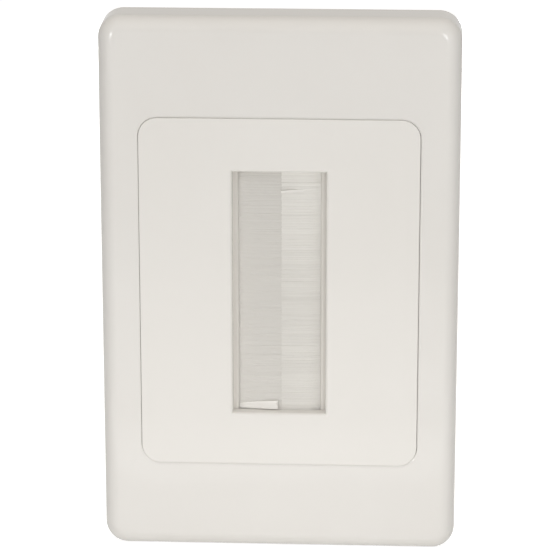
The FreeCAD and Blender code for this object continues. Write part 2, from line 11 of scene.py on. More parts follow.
import bmesh
import bpy
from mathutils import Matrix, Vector


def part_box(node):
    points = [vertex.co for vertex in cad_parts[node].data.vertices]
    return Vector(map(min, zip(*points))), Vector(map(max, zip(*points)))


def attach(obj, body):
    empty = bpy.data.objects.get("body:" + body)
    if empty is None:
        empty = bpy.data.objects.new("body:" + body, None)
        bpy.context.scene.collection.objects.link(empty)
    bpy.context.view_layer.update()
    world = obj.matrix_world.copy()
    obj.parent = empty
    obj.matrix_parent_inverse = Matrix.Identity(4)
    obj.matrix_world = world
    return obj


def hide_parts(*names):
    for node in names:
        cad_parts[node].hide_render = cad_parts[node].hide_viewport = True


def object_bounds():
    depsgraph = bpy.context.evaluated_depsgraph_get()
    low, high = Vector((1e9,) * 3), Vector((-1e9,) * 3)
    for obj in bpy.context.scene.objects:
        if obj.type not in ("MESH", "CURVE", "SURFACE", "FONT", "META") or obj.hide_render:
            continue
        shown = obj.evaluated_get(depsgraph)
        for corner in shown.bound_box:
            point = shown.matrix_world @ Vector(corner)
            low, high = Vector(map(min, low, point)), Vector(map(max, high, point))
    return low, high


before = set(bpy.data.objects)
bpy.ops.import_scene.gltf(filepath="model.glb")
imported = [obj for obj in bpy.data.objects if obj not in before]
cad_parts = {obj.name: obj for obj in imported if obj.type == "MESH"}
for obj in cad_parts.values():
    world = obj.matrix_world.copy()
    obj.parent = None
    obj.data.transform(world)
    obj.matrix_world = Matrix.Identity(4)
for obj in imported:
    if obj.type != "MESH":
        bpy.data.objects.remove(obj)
cad_box = [list(corner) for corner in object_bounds()]
scene = bpy.context.scene
MM = 0.001
print("nodes:", sorted(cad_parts))
print("CAD box in mm:", [[round(v / MM, 2) for v in corner] for corner in cad_box])

# %% [markdown]
# ## The camera
# The plate was photographed from a little above and slightly to its right, with a long lens, so that its sides stay
# almost parallel. A camera could be placed by eye, but edges that are known from the CAD model give it exactly: the
# place, the aim and the lens below put the outline, the panel and the slot where they are in the picture.

# %% Camera
LENS_MM = 182.5
SENSOR_MM = 36.0
CAMERA_PLACE = Vector((0.02886, -0.58555, 0.17046))
CAMERA_AIM = Vector((0.00022, -0.0105, 0.00323))


def turn_towards(place, aim):
    """The rotation that points a camera or a lamp, which look along their own -Z axis, from place to aim."""
    return (aim - place).to_track_quat("-Z", "Y").to_euler()


camera_data = bpy.data.cameras.new("front_camera")
camera_data.sensor_width = SENSOR_MM
camera_data.lens = LENS_MM
camera = bpy.data.objects.new("front_camera", camera_data)
camera.location = CAMERA_PLACE
camera.rotation_euler = turn_towards(CAMERA_PLACE, CAMERA_AIM)
scene.collection.objects.link(camera)
scene.camera = camera
scene.view_settings.view_transform = "Standard"
print("camera distance in m:", round((CAMERA_AIM - CAMERA_PLACE).length, 3))

# %% [markdown]
# ## The surroundings
# A white product on a white ground needs soft light from everywhere, or its sides turn grey. A bright white world
# would give that, but it would also flood the plate and wash out its form. So the Light Path node tells apart what a
# ray is for. Rays that light the plate find a dim, slightly warm world, the camera finds plain white, and reflections
# find a level in between, so that the glossy edges don't mirror pure white.

# %% A new world, and a way to add nodes
WHITE = (1.0, 1.0, 1.0)


def add_node(tree, kind, feeds=None, **settings):
    """Adds one node to a tree. Feeds maps an input's name or number to a socket or a plain value."""
    node = tree.nodes.new(kind)
    for label, value in settings.items():
        setattr(node, label, value)
    for label, value in (feeds or {}).items():
        entry = node.inputs[label]
        if isinstance(value, bpy.types.NodeSocket):
            tree.links.new(value, entry)
        else:
            entry.default_value = value
    return node


def blend_colours(tree, factor, first, second):
    """Two colours, each given as three numbers, mixed by a socket."""
    mix = add_node(tree, "ShaderNodeMix", {"Factor": factor}, data_type="RGBA")
    for label, colour in (("A", first), ("B", second)):
        entry = next(s for s in mix.inputs if s.name == label and s.type == "RGBA")
        entry.default_value = (*colour, 1.0)
    return next(s for s in mix.outputs if s.type == "RGBA")


world = bpy.data.worlds.new("soft_studio")
world.use_nodes = True
scene.world = world
world_tree = world.node_tree
background = world_tree.nodes["Background"]
print("the world starts with:", [node.name for node in world_tree.nodes])

# %% Levels for each kind of ray
AMBIENT = 0.25
AMBIENT_TINT = (1.0, 0.985, 0.965)
SEEN = 1.0
REFLECTED = 0.78


def level_by_ray(tree, lighting, seen, reflected):
    """A socket with one level for rays that light the plate, one for what the camera sees and one for reflections."""
    path = add_node(tree, "ShaderNodeLightPath").outputs
    level = lighting
    for ray, own_level in (("Is Camera Ray", seen), ("Is Transmission Ray", seen), ("Is Glossy Ray", reflected)):
        level = add_node(tree, "ShaderNodeMapRange", {
            "Value": path[ray], "To Min": level, "To Max": own_level,
        }).outputs["Result"]
    return level


whiteness = level_by_ray(world_tree, lighting=0.0, seen=1.0, reflected=0.0)
world_colour = blend_colours(world_tree, whiteness, AMBIENT_TINT, WHITE)
world_tree.links.new(world_colour, background.inputs["Color"])
world_tree.links.new(level_by_ray(world_tree, AMBIENT, SEEN, REFLECTED), background.inputs["Strength"])
print("surroundings light the plate at", AMBIENT, "and show in its gloss at", REFLECTED)

# %% [markdown]
# ## The floor
# The plate stands on a white table, and its soft shadow there is what ties it to the ground. A shadow catcher would
# keep the shadow alone, but then nothing pale would bounce light up from below. An ordinary pale disc gives both. A
# little glow, for the camera's and the reflected rays alone, lifts it to the white of the surroundings.

# %% Floor disc
FLOOR_RADIUS = 2.5
FLOOR_SIDES = 96
FLOOR_HEIGHT = cad_box[0][2]

floor_mesh = bpy.data.meshes.new("floor")
shape = bmesh.new()
bmesh.ops.create_circle(shape, cap_ends=True, segments=FLOOR_SIDES, radius=FLOOR_RADIUS)
bmesh.ops.translate(shape, verts=shape.verts, vec=(0.0, 0.0, FLOOR_HEIGHT))
shape.to_mesh(floor_mesh)
shape.free()
floor = bpy.data.objects.new("floor", floor_mesh)
scene.collection.objects.link(floor)
print("floor lies at z in mm:", round(FLOOR_HEIGHT / MM, 2))

# %% Floor paint
FLOOR_PAINT = (0.82, 0.82, 0.81, 1.0)
FLOOR_GLOW = 0.75

floor_material = bpy.data.materials.new("pale_floor")
floor_material.use_nodes = True
floor_tree = floor_material.node_tree
floor_tree.nodes.remove(floor_tree.nodes["Principled BSDF"])
paint = add_node(floor_tree, "ShaderNodeBsdfDiffuse", {"Color": FLOOR_PAINT})
glow_level = level_by_ray(floor_tree, 0.0, FLOOR_GLOW, FLOOR_GLOW * REFLECTED)
glow = add_node(floor_tree, "ShaderNodeEmission", {"Strength": glow_level})
both = add_node(floor_tree, "ShaderNodeAddShader", {0: paint.outputs["BSDF"], 1: glow.outputs["Emission"]})
floor_tree.links.new(both.outputs["Shader"], floor_tree.nodes["Material Output"].inputs["Surface"])
floor_mesh.materials.append(floor_material)
print("floor paint has", len(floor_tree.nodes), "nodes")

# %% [markdown]
# ## The lamps
# Product pictures are lit by soft boxes, whose size sets how soft the shadows and how broad the highlights are. One
# large lamp would light the plate too, but here each lamp does one job that can be tuned by itself. A warm box
# overhead tints the top edge. One high in front and one on the right light the face. The overhead and the high box
# are kept out of reflections, where they would draw bright bars. Two smaller key lamps stand where the rounded upper
# corners mirror them, and so make the tiny highlights there. Two faint cards by the floor act as light bounced off a
# table, and a lamp behind fills the back.

# %% Lamps
PLATE_MIDDLE = Vector((0.0, 0.0, 0.0))
WARM_TINT = (1.0, 0.94, 0.85)


def soft_lamp(name, place, size, watts, tint=WHITE, mirrored=True):
    """A soft box that faces the plate. One that isn't mirrored lights the plate without showing in its gloss."""
    data = bpy.data.lights.new(name, "AREA")
    data.shape = "RECTANGLE"
    data.size, data.size_y = size
    data.energy = watts
    data.color = tint
    lamp = bpy.data.objects.new(name, data)
    lamp.visible_camera = False
    lamp.visible_glossy = mirrored
    lamp.location = place
    lamp.rotation_euler = turn_towards(Vector(place), PLATE_MIDDLE)
    scene.collection.objects.link(lamp)


soft_lamp("overhead_soft_box", (0.0, -0.12, 0.75), (0.40, 0.40), watts=1.75, tint=WARM_TINT, mirrored=False)
soft_lamp("right_soft_box", (0.55, -0.55, 0.12), (0.35, 0.35), watts=0.57)
soft_lamp("high_front_soft_box", (0.0, -0.50, 0.55), (0.35, 0.35), watts=0.64, mirrored=False)
soft_lamp("left_key_lamp", (-0.338, -0.641, 0.053), (0.15, 0.15), watts=0.85)
soft_lamp("right_key_lamp", (0.193, -0.692, 0.057), (0.18, 0.18), watts=0.85)
soft_lamp("rear_fill_lamp", (0.0, 0.60, 0.0), (0.07, 0.10), watts=1.4)
soft_lamp("low_bounce_card", (0.0, -0.10, -0.038), (0.18, 0.03), watts=0.0088)
soft_lamp("floor_bounce_card", (0.0, -0.05, -0.049), (0.20, 0.012), watts=0.0054)

# %% [markdown]
# ## Moulded plastic
# The cover and the panel are injection moulded in the same glossy warm white. One flat colour would look like paper,
# because moulded plastic is never one value: its tone drifts a little with the flow of the melt, its gloss varies
# with the polish of the mould, and its surface has a very shallow unevenness. Three noise textures at three scales
# give that. They read Object coordinates, which are metres in the plate's own frame, so the pattern has a true size
# and stays with the piece.

# %% Noise on the piece's own coordinates
NOISE_LOW, NOISE_HIGH = 0.3, 0.7


def new_material(name):
    """A material with nodes. Returns it with its tree and its main shader."""
    material = bpy.data.materials.new(name)
    material.use_nodes = True
    return material, material.node_tree, material.node_tree.nodes["Principled BSDF"]


def noise(tree, scale, detail=2.0):
    """A noise texture; scale is in waves for each metre."""
    place = add_node(tree, "ShaderNodeTexCoord").outputs["Object"]
    return add_node(tree, "ShaderNodeTexNoise", {"Vector": place, "Scale": scale, "Detail": detail}).outputs["Fac"]


def spread(tree, source, low, high):
    """Stretches the middle of a noise texture's range over low to high."""
    return add_node(tree, "ShaderNodeMapRange", {
        "Value": source, "From Min": NOISE_LOW, "From Max": NOISE_HIGH, "To Min": low, "To Max": high,
    }).outputs["Result"]


print("noise is used from", NOISE_LOW, "to", NOISE_HIGH, "of its range")

# %% The two glossy plastics
DRIFT_SCALE, DRIFT_DETAIL = 38.0, 3.0
POLISH_SCALE, POLISH_DETAIL = 160.0, 4.0


def moulded_plastic(name, pale, deep, gloss, grain, grain_height, specular):
    """Plastic whose tone drifts from pale to deep, with roughness over the gloss range and a fine surface grain."""
    material, tree, shader = new_material(name)
    drift = spread(tree, noise(tree, DRIFT_SCALE, DRIFT_DETAIL), 0.0, 1.0)
    tree.links.new(blend_colours(tree, drift, pale, deep), shader.inputs["Base Color"])
    polish = spread(tree, noise(tree, POLISH_SCALE, POLISH_DETAIL), *gloss)
    tree.links.new(polish, shader.inputs["Roughness"])
    bump = add_node(tree, "ShaderNodeBump", {
        "Strength": 1.0, "Distance": grain_height, "Height": noise(tree, grain),
    })
    tree.links.new(bump.outputs["Normal"], shader.inputs["Normal"])
    shader.inputs["Specular IOR Level"].default_value = specular
    return material


cover_plastic = moulded_plastic(
    "warm_white_cover_plastic", pale=(0.750, 0.732, 0.704), deep=(0.740, 0.720, 0.690),
    gloss=(0.09, 0.12), grain=700.0, grain_height=2.0e-7, specular=0.35,
)
panel_plastic = moulded_plastic(
    "warm_white_panel_plastic", pale=(0.770, 0.751, 0.720), deep=(0.760, 0.740, 0.707),
    gloss=(0.15, 0.20), grain=800.0, grain_height=2.0e-7, specular=0.3,
)
print("plastics:", cover_plastic.name, panel_plastic.name)

# %% [markdown]
# ## The cover and the panel
# The CAD solids already have the right form, down to the snap ribs inside, but their meshes are loose flat triangles
# and would show facets on the rounded edges. A subdivision surface would swell the flat faces, and remodelling would
# only repeat the sizes. So each mesh is copied, its triangles are joined, and its edges are shaded smooth except where
# two faces really meet at a corner. Weighted normals then keep the large flat faces flat.

# %% Helpers for finished pieces
MERGE = 2.0e-6


def plain_piece(name, mesh, material, slot, *nodes):
    """A finished piece of the plate: it rides on the root body and stands for the CAD nodes named."""
    piece = bpy.data.objects.new(name, mesh)
    scene.collection.objects.link(piece)
    mesh.materials.clear()
    mesh.materials.append(material)
    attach(piece, "root")
    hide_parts(*nodes)


def baked_mesh(piece, name):
    """The piece's mesh with its modifiers carried out, as a plain mesh."""
    graph = bpy.context.evaluated_depsgraph_get()
    mesh = bpy.data.meshes.new_from_object(piece.evaluated_get(graph))
    mesh.name = name
    return mesh


def shade_by_angle(shape, corner_degrees):
    """Shades every face smooth, and keeps the edges hard that turn by more than the corner's angle."""
    for face in shape.faces:
        face.smooth = True
    for edge in shape.edges:
        edge.smooth = len(edge.link_faces) == 2 and edge.calc_face_angle() < math.radians(corner_degrees)


print("points within", MERGE / MM, "mm are joined")

# %% Smooth copies of the mouldings
FLAT_FACE_WEIGHT = 100


def smooth_moulding(node, name, material, slot, corner_degrees=30.0, ease=None):
    """A joined, smoothly shaded copy of a CAD node. Ease, if given, changes the joined mesh first."""
    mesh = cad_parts[node].data.copy()
    shape = bmesh.new()
    shape.from_mesh(mesh)
    bmesh.ops.remove_doubles(shape, verts=shape.verts, dist=MERGE)
    if ease:
        ease(shape)
    shade_by_angle(shape, corner_degrees)
    open_edges = sum(len(edge.link_faces) != 2 for edge in shape.edges)
    volume = shape.calc_volume(signed=True) / MM ** 3
    shape.to_mesh(mesh)
    shape.free()
    draft = bpy.data.objects.new(name + "_draft", mesh)
    scene.collection.objects.link(draft)
    weighted = draft.modifiers.new("flat_faces_stay_flat", "WEIGHTED_NORMAL")
    weighted.keep_sharp = True
    weighted.weight = FLAT_FACE_WEIGHT
    finished = baked_mesh(draft, name)
    bpy.data.objects.remove(draft)
    print(name, "faces", len(finished.polygons), "open edges", open_edges, "volume in mm3", round(volume, 1))
    plain_piece(name, finished, material, slot, node)


smooth_moulding("cover", "cover_moulding", cover_plastic, "cover_plastic", corner_degrees=35.0)
smooth_moulding("base_plate", "panel_moulding", panel_plastic, "panel_plastic")

# %% [markdown]
# ## Brush holders and clamp frame
# Each brush is gripped by an extruded plastic strip, duller than the mouldings because it comes from a die and not
# from a polished mould. Its colour is set darker than the mouldings' white as painted shade, for the shade that falls
# on the strips inside the slot. Behind the panel a plain clamp frame holds both strips down. Its back is left with the
# fine even texture that spark erosion gives a mould. The lips that touch the bristles are rounded, so that they don't
# cut them. A Bevel modifier by angle would round every hard edge of the strip, so the lips are picked out by their
# place, and only they are bevelled.

# %% Dull plastics
# The holder's darker colour is painted shade, for the shade inside the slot.
holder_plastic = moulded_plastic(
    "extruded_holder_plastic_painted_shade", pale=(0.695, 0.670, 0.632), deep=(0.670, 0.645, 0.604),
    gloss=(0.38, 0.50), grain=1500.0, grain_height=1.5e-6, specular=0.4,
)
clamp_plastic = moulded_plastic(
    "clamp_frame_plastic", pale=(0.715, 0.695, 0.655), deep=(0.690, 0.668, 0.626),
    gloss=(0.42, 0.55), grain=2600.0, grain_height=4.0e-6, specular=0.4,
)
print("dull plastics:", holder_plastic.name, clamp_plastic.name)

# %% Holders and clamp frame
LIP_ROUND = 0.55 * MM
LIP_STEPS = 6
ROUND_PROFILE = 0.5
FLAT_DEGREES = 1.0


def round_lips(shape):
    """Rounds the two long edges of a holder that lie nearest to the bristles."""
    bmesh.ops.dissolve_limit(shape, angle_limit=math.radians(FLAT_DEGREES), verts=shape.verts, edges=shape.edges)
    inner = min(abs(v.co.x) for v in shape.verts)
    faces_y = (min(v.co.y for v in shape.verts), max(v.co.y for v in shape.verts))
    lips = [
        edge for edge in shape.edges
        if all(abs(abs(v.co.x) - inner) < MERGE for v in edge.verts)
        and any(all(abs(v.co.y - y) < MERGE for v in edge.verts) for y in faces_y)
    ]
    bmesh.ops.bevel(
        shape, geom=lips, offset=LIP_ROUND, segments=LIP_STEPS, profile=ROUND_PROFILE, affect="EDGES"
    )
    print("lips rounded:", len(lips))


for side in ("left", "right"):
    smooth_moulding(
        side + "_brush_holder", side + "_holder_strip", holder_plastic, "holder_plastic", ease=round_lips
    )
smooth_moulding("clamp_frame", "clamp_ring", clamp_plastic, "clamp_plastic")

# %% [markdown]
# ## Nylon
# The bristles are white nylon with a soft gloss. No two have quite the same tone, because each one catches the light
# in its own way. A texture over the pack would not follow single bristles, so every bristle carries a number of its
# own, kept on the mesh as an attribute named tone, and the material blends a pale and a deep white by it. The two
# brushes catch the light differently, so each has its own pair of whites: the left pair is darker as painted shade,
# and the right pair is paler as painted light. Loose strands have the palest, as painted light where they stand
# forward out of the slot's shade.

# %% Nylon
NYLON_SCALE = 900.0
NYLON_GLOSS = (0.30, 0.45)
NYLON_SPECULAR = 0.5


def nylon(name, pale, deep):
    """White nylon that runs from pale to deep with each bristle's own tone."""
    material, tree, shader = new_material(name)
    tone = add_node(tree, "ShaderNodeAttribute", attribute_name="tone").outputs["Fac"]
    tree.links.new(blend_colours(tree, tone, pale, deep), shader.inputs["Base Color"])
    tree.links.new(spread(tree, noise(tree, NYLON_SCALE), *NYLON_GLOSS), shader.inputs["Roughness"])
    shader.inputs["Specular IOR Level"].default_value = NYLON_SPECULAR
    return material


# Lit and shaded copies of one nylon: the left pair is painted shade, the right pair painted light.
left_nylon_painted_shade = nylon("left_brush_nylon_painted_shade", pale=(0.703, 0.684, 0.650), deep=(0.675, 0.656, 0.621))
right_nylon_painted_light = nylon("right_brush_nylon_painted_light", pale=(0.820, 0.803, 0.765), deep=(0.632, 0.614, 0.580))
# The palest nylon is painted light for the loose strands, which stand forward out of the slot's shade.
loose_nylon_painted_light = nylon("loose_tuft_nylon_painted_light", pale=(0.830, 0.811, 0.778), deep=(0.785, 0.766, 0.733))
print("nylons:", left_nylon_painted_shade.name, right_nylon_painted_light.name, loose_nylon_painted_light.name)

# %% [markdown]
# ## A recipe for a brush
# A strip brush is some thousands of straight nylon bristles, fused at their roots into a bead that the holder grips.
# Hair curves would give such a pack too, but they have to be made a mesh before they can be exported. Geometry Nodes
# grow the mesh itself, and a tree with named inputs is a recipe that serves both brushes and their loose strands. It
# is built in four steps: the roots, the bristles, their tones, and the combing.

# %% An empty tree with named inputs
BRISTLE_INPUTS = (
    ("Rows", "Int"), ("Layers", "Int"), ("Height", "Float"), ("Depth", "Float"),
    ("Middle Y", "Float"), ("Middle Z", "Float"), ("Root", "Float"), ("Tip", "Float"),
    ("Radius", "Float"), ("Jitter", "Float"), ("Uneven Tips", "Float"), ("Waviness", "Float"),
    ("Lean Y", "Float"), ("Lean Z", "Float"), ("Bend", "Float"), ("Fan", "Float"), ("Flare", "Float"),
    ("Flare Start", "Float"), ("Flare End", "Float"), ("Painted Light Start", "Float"), ("Painted Light Slope", "Float"),
    ("Tone Bands", "Float"), ("Seed", "Int"), ("Material", "Material"),
)


def new_tree(name, inputs):
    """An empty Geometry Nodes tree with named inputs. Returns the tree, its input sockets and its output node."""
    tree = bpy.data.node_groups.new(name, "GeometryNodeTree")
    tree.interface.new_socket("Geometry", in_out="INPUT", socket_type="NodeSocketGeometry")
    tree.interface.new_socket("Geometry", in_out="OUTPUT", socket_type="NodeSocketGeometry")
    for label, kind in inputs:
        tree.interface.new_socket(label, in_out="INPUT", socket_type="NodeSocket" + kind)
    return tree, tree.nodes.new("NodeGroupInput").outputs, tree.nodes.new("NodeGroupOutput")


pack_tree, given, pack_result = new_tree("bristle_pack", BRISTLE_INPUTS)
print("the bristle recipe has", len(BRISTLE_INPUTS), "inputs")

# %% [markdown]
# ### Roots and bristles
# In the bead the bristles stand in close rows, several layers deep. Scattered points would leave bare patches, so the
# roots are a grid of points, set upright and shaken a little. One slim five-sided bristle is put on every point, and
# is cut a little shorter by chance, because a trimmed brush never ends in a perfect line.

# %% Roots
def calculate(tree, operation, first, second):
    """One Math node's result."""
    return add_node(tree, "ShaderNodeMath", {0: first, 1: second}, operation=operation).outputs[0]


def vector(tree, **parts):
    """A vector from sockets or numbers for X, Y and Z."""
    return add_node(tree, "ShaderNodeCombineXYZ", parts).outputs[0]


def scaled(tree, arrow, factor):
    """A vector times a number."""
    return add_node(tree, "ShaderNodeVectorMath", {0: arrow, "Scale": factor}, operation="SCALE").outputs[0]


def position_parts(tree):
    """The X, Y and Z of where the geometry is at this step."""
    place = add_node(tree, "GeometryNodeInputPosition").outputs[0]
    return add_node(tree, "ShaderNodeSeparateXYZ", {0: place}).outputs


grid = add_node(pack_tree, "GeometryNodeMeshGrid", {
    "Size X": given["Depth"], "Size Y": given["Height"], "Vertices X": given["Layers"], "Vertices Y": given["Rows"],
})
flat = position_parts(pack_tree)
upright = vector(
    pack_tree, X=given["Root"],
    Y=calculate(pack_tree, "ADD", flat["X"], given["Middle Y"]),
    Z=calculate(pack_tree, "ADD", flat["Y"], given["Middle Z"]),
)
scatter = add_node(pack_tree, "FunctionNodeRandomValue", {
    "Min": (0.0, -1.0, -1.0), "Max": (0.0, 1.0, 1.0), "Seed": given["Seed"],
}, data_type="FLOAT_VECTOR").outputs[0]
roots = add_node(pack_tree, "GeometryNodeSetPosition", {
    "Geometry": grid.outputs["Mesh"], "Position": upright, "Offset": scaled(pack_tree, scatter, given["Jitter"]),
})
print("nodes up to the roots:", len(pack_tree.nodes))

# %% Bristles
BRISTLE_STEPS = 5
BRISTLE_SIDES = 5
LENGTH_DRAW, TONE_DRAW = 1, 2


def random_number(tree, low, high, seed, draw):
    """One random number for each bristle. Draw is added to the seed, so that each use has its own numbers."""
    return add_node(tree, "FunctionNodeRandomValue", {
        2: low, 3: high, "Seed": calculate(tree, "ADD", seed, draw),
    }, data_type="FLOAT").outputs[1]


reach = calculate(pack_tree, "SUBTRACT", given["Tip"], given["Root"])
line = add_node(pack_tree, "GeometryNodeCurvePrimitiveLine", {"End": vector(pack_tree, X=reach)})
steps = add_node(pack_tree, "GeometryNodeResampleCurve", {"Curve": line.outputs["Curve"], "Count": BRISTLE_STEPS})
ring = add_node(pack_tree, "GeometryNodeCurvePrimitiveCircle", {
    "Resolution": BRISTLE_SIDES, "Radius": given["Radius"],
})
bristle = add_node(pack_tree, "GeometryNodeCurveToMesh", {
    "Curve": steps.outputs["Curve"], "Profile Curve": ring.outputs["Curve"], "Fill Caps": True,
})
shortest = calculate(pack_tree, "SUBTRACT", 1.0, given["Uneven Tips"])
length = random_number(pack_tree, shortest, 1.0, given["Seed"], LENGTH_DRAW)
pack = add_node(pack_tree, "GeometryNodeInstanceOnPoints", {
    "Points": roots.outputs["Geometry"], "Instance": bristle.outputs["Mesh"],
    "Scale": vector(pack_tree, X=length, Y=1.0, Z=1.0),
})
print("nodes up to the bristles:", len(pack_tree.nodes))

# %% [markdown]
# ### Tones
# The right brush is made paler towards its top, as painted light against the shade that the slot's top edge casts on
# its upper end, and bristles that lie together share broad pale bands. A picture of the bands would fix them to one
# brush, so the tone is a sum instead: a chance part for each bristle, a slope that starts at a given height and paints
# that light, and a noise along the height. It is stored while the bristles are still instances, once for each.

# %% Tones
OWN_TONE = (0.4, 0.6)
BANDS_PER_METRE, BAND_DETAIL = 330.0, 2.0
NOISE_MIDDLE = 0.5

own_tone = random_number(pack_tree, *OWN_TONE, given["Seed"], TONE_DRAW)
root_height = position_parts(pack_tree)["Z"]
# Painted light: a negative slope makes the bristles paler with height, against the shade under the slot's top edge.
above_start = calculate(pack_tree, "SUBTRACT", root_height, given["Painted Light Start"])
painted_light_by_height = calculate(pack_tree, "MULTIPLY", calculate(pack_tree, "MAXIMUM", above_start, 0.0), given["Painted Light Slope"])
band_place = vector(pack_tree, X=given["Seed"], Z=calculate(pack_tree, "MULTIPLY", root_height, BANDS_PER_METRE))
band = add_node(pack_tree, "ShaderNodeTexNoise", {
    "Vector": band_place, "Scale": 1.0, "Detail": BAND_DETAIL,
}).outputs[0]
band_tone = calculate(pack_tree, "MULTIPLY", calculate(pack_tree, "SUBTRACT", band, NOISE_MIDDLE), given["Tone Bands"])
shared_tone = calculate(pack_tree, "ADD", painted_light_by_height, band_tone)
toned = add_node(pack_tree, "GeometryNodeStoreNamedAttribute", {
    "Geometry": pack.outputs["Instances"], "Name": "tone", "Value": calculate(pack_tree, "ADD", own_tone, shared_tone),
}, data_type="FLOAT", domain="INSTANCE")
solid = add_node(pack_tree, "GeometryNodeRealizeInstances", {"Geometry": toned.outputs["Geometry"]})
print("nodes up to the tones:", len(pack_tree.nodes))

# %% [markdown]
# ### Combing
# Bristles lean together more towards their tips, and where they leave the holder's lips they open out and the pack
# grows thicker. Bending each bristle as a curve would work, but noise that reads the place in the pack moves
# neighbours alike, as in a real brush, so the realized mesh is shifted instead. The shift is nothing at the root and
# grows along the bristle.

# %% Waves, lean and fan
WAVES_ACROSS, WAVES_UP, WAVE_DETAIL = 500.0, 420.0, 3.0
SEED_STEP = 1.7


def vector_math(tree, operation, first, second):
    """One Vector Math node's result."""
    return add_node(tree, "ShaderNodeVectorMath", {0: first, 1: second}, operation=operation).outputs[0]


place = position_parts(pack_tree)
along = add_node(pack_tree, "ShaderNodeMapRange", {
    "Value": place["X"], "From Min": given["Root"], "From Max": given["Tip"],
}).outputs["Result"]
wave_place = vector(
    pack_tree, X=calculate(pack_tree, "MULTIPLY", given["Seed"], SEED_STEP),
    Y=calculate(pack_tree, "MULTIPLY", place["Y"], WAVES_ACROSS),
    Z=calculate(pack_tree, "MULTIPLY", place["Z"], WAVES_UP),
)
wave = add_node(pack_tree, "ShaderNodeTexNoise", {
    "Vector": wave_place, "Scale": 1.0, "Detail": WAVE_DETAIL,
}).outputs["Color"]
centred = vector_math(pack_tree, "SUBTRACT", wave, (NOISE_MIDDLE, NOISE_MIDDLE, NOISE_MIDDLE))
sideways = vector_math(pack_tree, "MULTIPLY", centred, (0.0, 1.0, 1.0))
waved = scaled(pack_tree, sideways, given["Waviness"])
from_middle = calculate(pack_tree, "SUBTRACT", place["Z"], given["Middle Z"])
fanned = calculate(pack_tree, "MULTIPLY", from_middle, given["Fan"])
lean = vector(pack_tree, Y=given["Lean Y"], Z=calculate(pack_tree, "ADD", given["Lean Z"], fanned))
bend = calculate(pack_tree, "POWER", along, given["Bend"])
combed_by = scaled(pack_tree, vector_math(pack_tree, "ADD", waved, lean), bend)
print("nodes up to the waves:", len(pack_tree.nodes))

# %% Flare, and the end of the tree
def end_tree(tree, geometry, material, result):
    """Gives the grown geometry its material and passes it out of the tree."""
    coloured = add_node(tree, "GeometryNodeSetMaterial", {"Geometry": geometry, "Material": material})
    tree.links.new(coloured.outputs["Geometry"], result.inputs["Geometry"])


distance = calculate(pack_tree, "MULTIPLY", along, calculate(pack_tree, "ABSOLUTE", reach, 0.0))
opening = add_node(pack_tree, "ShaderNodeMapRange", {
    "Value": distance, "From Min": given["Flare Start"], "From Max": given["Flare End"],
}, interpolation_type="SMOOTHSTEP").outputs["Result"]
from_core = calculate(pack_tree, "SUBTRACT", place["Y"], given["Middle Y"])
full_flare = calculate(pack_tree, "MULTIPLY", from_core, given["Flare"])
flared_by = vector(pack_tree, Y=calculate(pack_tree, "MULTIPLY", full_flare, opening))
combed = add_node(pack_tree, "GeometryNodeSetPosition", {
    "Geometry": solid.outputs["Geometry"], "Offset": vector_math(pack_tree, "ADD", combed_by, flared_by),
})
smooth = add_node(pack_tree, "GeometryNodeSetShadeSmooth", {
    "Geometry": combed.outputs["Geometry"], "Shade Smooth": True,
})
end_tree(pack_tree, smooth.outputs["Geometry"], given["Material"], pack_result)
print("nodes of the whole recipe:", len(pack_tree.nodes))

# %% [markdown]
# ## Two brushes, a stray tuft and a raised lock
# The right brush's bristles lie over the left one's tips. One tuft has slipped across the foot of the slot, and a small
# lock stands out near the top, as in any brush that has been handled. Loose strands could be modelled by hand, but
# the same recipe grows them from a few rows of bristles with more lean and fan. Each set of inputs says only what
# differs from the brush that it belongs to.

# %% The brushes' inputs
BRUSH_MIDDLE_Y = -5.6 * MM
BEAD_MIDDLE_X = 12.0 * MM
RADIUS = 0.085 * MM
PACK_CLEARANCE = 0.1 * MM
pack_low, pack_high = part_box("right_bristles")
PACK_HEIGHT = pack_high[2] - pack_low[2] - 2 * RADIUS - PACK_CLEARANCE

# The right brush's negative slope paints light onto its upper part, where the slot's top edge shades it.
right_values = {
    "Rows": 430, "Layers": 8, "Height": PACK_HEIGHT, "Depth": 2.55 * MM, "Middle Y": BRUSH_MIDDLE_Y, "Middle Z": 0.0,
    "Root": BEAD_MIDDLE_X, "Tip": 0.33 * MM, "Radius": RADIUS, "Jitter": 0.02 * MM, "Uneven Tips": 0.014,
    "Waviness": 0.07 * MM, "Lean Y": 0.0, "Lean Z": 0.0, "Bend": 1.6, "Fan": 0.0, "Flare": 0.53,
    "Flare Start": 3.05 * MM, "Flare End": 3.70 * MM, "Painted Light Start": 0.0, "Painted Light Slope": -19.0, "Tone Bands": 0.55,
    "Seed": 11, "Material": right_nylon_painted_light,
}
left_values = {
    **right_values, "Root": -BEAD_MIDDLE_X, "Tip": 0.95 * MM, "Uneven Tips": 0.030, "Waviness": 0.03 * MM,
    "Lean Y": 0.12 * MM, "Painted Light Slope": 0.0, "Tone Bands": 0.0, "Seed": 23, "Material": left_nylon_painted_shade,
}
print("a brush has", right_values["Rows"] * right_values["Layers"], "bristles")

